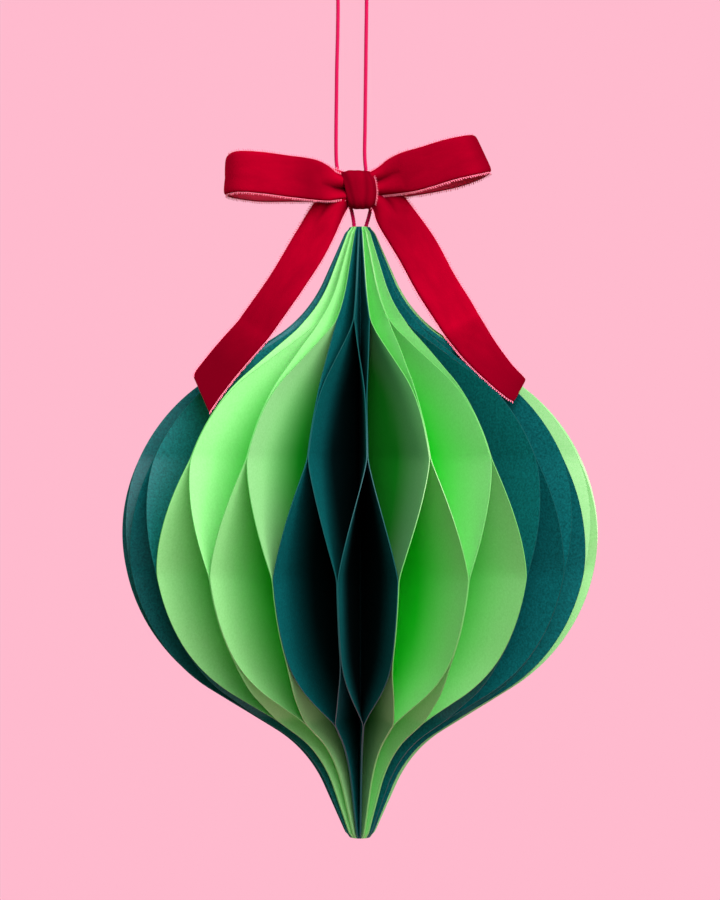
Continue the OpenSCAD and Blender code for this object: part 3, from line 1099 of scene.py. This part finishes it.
@dataclass
class Selvedge:
    """The ribbon's woven edges: a fine thread along each, with a row of tiny slanted thread loops."""

    thread_radius: float = 0.06 * MM
    overhang: float = 0.06 * MM
    drop: float = 0.2 * MM
    spacing: float = 0.62 * MM
    loop_reach: float = 0.62 * MM
    loop_width: float = 0.1 * MM
    loop_thread: float = 0.08 * MM
    loop_slant: float = math.radians(25)
    loop_shift: float = 0.4
    least_growth: float = 0.75
    most_growth: float = 1.15
    seed: int = 4
    rim_lean: float = 0.7
    thread_corners: int = 6
    loop_corners: int = 7
    loop_thread_corners: int = 3

    def recipe(self) -> Recipe:
        """Builds the tree that runs a thread and its loops along each line."""
        recipe = Recipe("selvedge")
        lines = recipe.add("GeometryNodeMeshToCurve", {0: recipe.entry})
        edge = recipe.thread(lines, recipe.circle(self.thread_corners, recipe["Thread radius"]))
        oval = recipe.add("GeometryNodeTransform", {
            "Geometry": recipe.circle(self.loop_corners, 0.5),
            "Scale": recipe.vector(recipe["Loop reach"], recipe["Loop width"], 1.0)})
        fine = recipe.circle(self.loop_thread_corners, recipe["Loop thread"])
        shift = recipe["Loop reach"] * self.loop_shift
        shifted = recipe.add("GeometryNodeTransform", {
            "Geometry": recipe.thread(oval, fine, lids=False),
            "Translation": recipe.vector(shift, 0.0, 0.0),
            "Rotation": recipe.vector(0.0, 0.0, recipe["Loop slant"])})
        outward, forward = (
            recipe.add("GeometryNodeInputNamedAttribute", {"Name": name}, data_type="FLOAT_VECTOR")
            for name in ("outward", "forward"))
        turned = recipe.add("FunctionNodeAxesToRotation", {
            0: outward, 1: forward}, primary_axis="X", secondary_axis="Y")
        growth = recipe.add("FunctionNodeRandomValue", {
            2: self.least_growth, 3: self.most_growth, "Seed": self.seed})
        loops = recipe.add("GeometryNodeInstanceOnPoints", {
            "Points": recipe.stepped(lines, recipe["Spacing"]), "Instance": shifted,
            "Rotation": turned, "Scale": growth.outputs[1]})
        both = recipe.add("GeometryNodeJoinGeometry", {0: edge})
        recipe.tree.links.new(loops.outputs[0], both.inputs[0])
        recipe.close(both, SELVEDGE.material)
        return recipe

    def build(self, stretches: Sequence[Stretch], bow: Bow) -> Object:
        """Makes the selvedges of every stretch, and the one of the knot that isn't tucked under.

        Args:
            stretches: The ribbon's stretches.
            bow: The bow that they belong to.

        Returns:
            All the selvedges as one piece.
        """
        lines = []
        for stretch in stretches:
            for side in (-1.0, 1.0):
                off = np.array([self.drop - bow.ribbon_thickness / 2])
                out = stretch.across * side
                lines.append((stretch.surface(np.array([side]), off)[:, 0] + out * self.overhang, out))
        band = bow.knot_band()
        rim = np.vstack([band[-2], band[-2, :1]])
        out = unit_rows((rim - bow.knot) * (0, 1, 1)) * self.rim_lean + (self.rim_lean, 0, 0)
        lines.append((rim + out * self.thread_radius, out))
        source = line_mesh("selvedge_lines", [line for line, _ in lines])
        forward = [unit_rows(np.gradient(line, axis=0)) for line, _ in lines]
        for name, rows in (("outward", [out for _, out in lines]), ("forward", forward)):
            values = source.attributes.new(name, "FLOAT_VECTOR", "POINT").data
            values.foreach_set("vector", np.vstack(rows).ravel())
        return self.recipe().make("ribbon_selvedges", named_sizes(self), source)


@dataclass
class HangingCord:
    """The thin twisted cord: out of the core, up round the hook's place and back down."""

    diameter: float = 1 * MM
    pitch: float = 2.8 * MM
    strands: int = 4
    strand_corners: int = 9
    swelling: float = 1.15
    ring_spacing: float = 0.3 * MM
    steps: int = 8

    # Route: sideways and height, in millimetres.
    ROUTE = (
        (0.5, -80), (0.5, -76), (0.5, -72), (0.5, -68), (0.5, -65.5), (0.2, -63), (-0.5, -60),
        (-1.8, -56.5), (-3.2, -53), (-4, -49.5), (-4.2, -46), (-4.2, -40), (-4.1, -32), (-4, -24),
        (-3.8, -16), (-3.7, -9), (-3.7, -3.3), (-3.2, -1.4), (-1.9, 0), (0, 0.5), (1.9, 0),
        (3.2, -1.4), (3.7, -3.3), (3.7, -9), (3.6, -16), (3.5, -24), (3.4, -32), (3.3, -40),
        (3.2, -46), (3.4, -49.5), (3.9, -53), (4.5, -56.5), (4.8, -60), (4.2, -63), (3.5, -65.5),
        (3.5, -68), (3.5, -72), (3.5, -76), (3.5, -80))
    EXIT = (0.5 * MM, 0.0, -65.5 * MM)

    def recipe(self) -> Recipe:
        """Builds the tree that twists the strands along a line."""
        recipe = Recipe("twisted cord")
        line = recipe.add("GeometryNodeMeshToCurve", {0: recipe.entry})
        distance = Formula(recipe.tree, recipe.add("GeometryNodeSplineParameter").outputs["Length"])
        twisted = recipe.add("GeometryNodeSetCurveTilt", {
            "Curve": recipe.stepped(line, recipe["Ring spacing"]),
            "Tilt": distance / recipe["Pitch"] * (2 * math.pi)})
        strand = recipe.circle(self.strand_corners, recipe["Strand radius"])
        profile = recipe.add("GeometryNodeJoinGeometry")
        for number in range(self.strands):
            angle = 2 * math.pi * number / self.strands
            offset = recipe["Strand offset"]
            moved = recipe.add("GeometryNodeTransform", {
                "Geometry": strand,
                "Translation": recipe.vector(offset * math.cos(angle), offset * math.sin(angle), 0.0)})
            recipe.tree.links.new(moved.outputs[0], profile.inputs[0])
        recipe.close(recipe.thread(twisted, profile), CORD_THREAD.material)
        return recipe

    def build(self, node: str, slot: str) -> None:
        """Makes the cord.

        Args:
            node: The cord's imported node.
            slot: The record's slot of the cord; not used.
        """
        flat = smooth_points(np.array(self.ROUTE, float) * MM, self.steps)
        path = np.insert(flat, 1, 0.0, axis=1)
        share = math.sin(math.pi / self.strands)
        radius = self.diameter / 2 * share / (1 + share)
        sizes = {
            **named_sizes(self),
            "Strand radius": radius * self.swelling,
            "Strand offset": self.diameter / 2 - radius,
        }
        cord = self.recipe().make("twisted_cord", sizes, line_mesh("cord_line", [path]))
        dress(cord, [node])
        length = float(distance_along(path)[-1])
        LOG.info("cord: %.0f mm long", length / MM)


@dataclass
class Studio:
    """A camera level with the ornament, three soft lamps, and pale pink paper behind and below."""

    axis_x: float = AXIS_X
    camera_distance: float = 510 * MM
    camera_height: float = -123.2 * MM
    lens: float = 78.64
    target_drop: float = 20 * MM
    lamp_distance: float = 900 * MM
    lamp_size: float = 800 * MM
    floor_level: float = -750 * MM
    floor_radius: float = 800 * MM
    floor_corners: int = 96
    paper: str = "#FFBACE"
    paper_rough: float = 0.9
    sky: str = "#B0FFC4"
    sky_strength: float = 0.15

    def camera(self) -> None:
        """Sets the camera, looking level along +Y."""
        data = bpy.data.cameras.new("camera")
        data.lens = self.lens
        camera = link_piece("camera", data)
        camera.location = (self.axis_x, -self.camera_distance, self.camera_height)
        camera.rotation_euler = (math.pi / 2, 0.0, 0.0)
        bpy.context.scene.camera = camera

    def lamp(self, name: str, azimuth: float, elevation: float, power: float, colour: str,
             glossy: bool = False) -> None:
        """Adds a square soft lamp that looks at the ornament.

        Args:
            name: Name of the lamp.
            azimuth: Degrees to the right of the front.
            elevation: Degrees up from level.
            power: Its power in watts.
            colour: Its colour.
            glossy: Whether it is mirrored in what shines.
        """
        data = bpy.data.lights.new(name, "AREA")
        data.size = self.lamp_size
        data.energy = power
        data.color = linear(colour)[:3]
        turn, rise = math.radians(azimuth), math.radians(elevation)
        level = math.cos(rise)
        back = Vector((math.sin(turn) * level, -math.cos(turn) * level, math.sin(rise)))
        target = Vector((self.axis_x, 0.0, self.camera_height - self.target_drop))
        lamp = link_piece(name, data)
        lamp.location = target + back * self.lamp_distance
        lamp.rotation_euler = back.to_track_quat("Z", "Y").to_euler()
        lamp.visible_glossy = glossy

    def world(self) -> None:
        """Shows the camera pale pink paper all round, and lights the shade a weak pale green."""
        world = bpy.data.worlds.new("paper room")
        bpy.context.scene.world = world
        world.use_nodes = True
        tree = world.node_tree
        tree.nodes.clear()
        seen, light = (
            add_node(tree, "ShaderNodeBackground", {"Color": linear(colour), "Strength": strength})
            for colour, strength in ((self.paper, 1.0), (self.sky, self.sky_strength)))
        path = add_node(tree, "ShaderNodeLightPath")
        mixed = add_node(tree, "ShaderNodeMixShader", {
            0: path.outputs["Is Camera Ray"], 1: light.outputs[0], 2: seen.outputs[0]})
        add_node(tree, "ShaderNodeOutputWorld", {"Surface": mixed.outputs[0]})

    def floor(self) -> None:
        """Lays a round sheet of the same paper well below the ornament."""
        paper = Shading("pale pink paper", {
            "Base Color": linear(self.paper), "Roughness": self.paper_rough})
        angles = np.linspace(0, 2 * math.pi, self.floor_corners, endpoint=False)
        rim = np.stack([
            self.axis_x + self.floor_radius * np.cos(angles), self.floor_radius * np.sin(angles),
            np.full(len(angles), self.floor_level)], axis=1)
        floor = link_piece("floor", new_mesh("floor", rim, [range(len(rim))], paper.material))

    def build(self) -> None:
        """Sets the camera, the light and the paper."""
        scene = bpy.context.scene
        scene.view_settings.view_transform = "Standard"
        scene.cycles.diffuse_bounces = 8
        scene.cycles.max_bounces = 12
        self.camera()
        self.world()
        self.floor()
        self.lamp("key lamp", 22, 33, 21.5, "#FFC8DE", glossy=True)
        self.lamp("glow of the paper behind", 180, 4, 8, self.paper)
        self.lamp("fill at the left", -112, 30, 5.5, "#FFFAF8")


def main() -> None:
    """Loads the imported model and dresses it, piece by piece."""
    logging.basicConfig(level=logging.INFO, format="%(name)s: %(message)s")
    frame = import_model()
    sheets = sorted((node for node in frame["nodes"] if "_sheet_" in node), key=lambda node: node[-2:])
    low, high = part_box(sheets[0])
    outline = Outline(height=high.z - low.z)
    Studio().build()
    HangingCord().build("hanging_cord", "cord")
    FoldedBody(top=high.z, outline=outline).build(sheets)
    Bow(outline=outline, body_top=high.z).build("ribbon_bow", "velvet_ribbon")


if __name__ == "__main__":
    main()
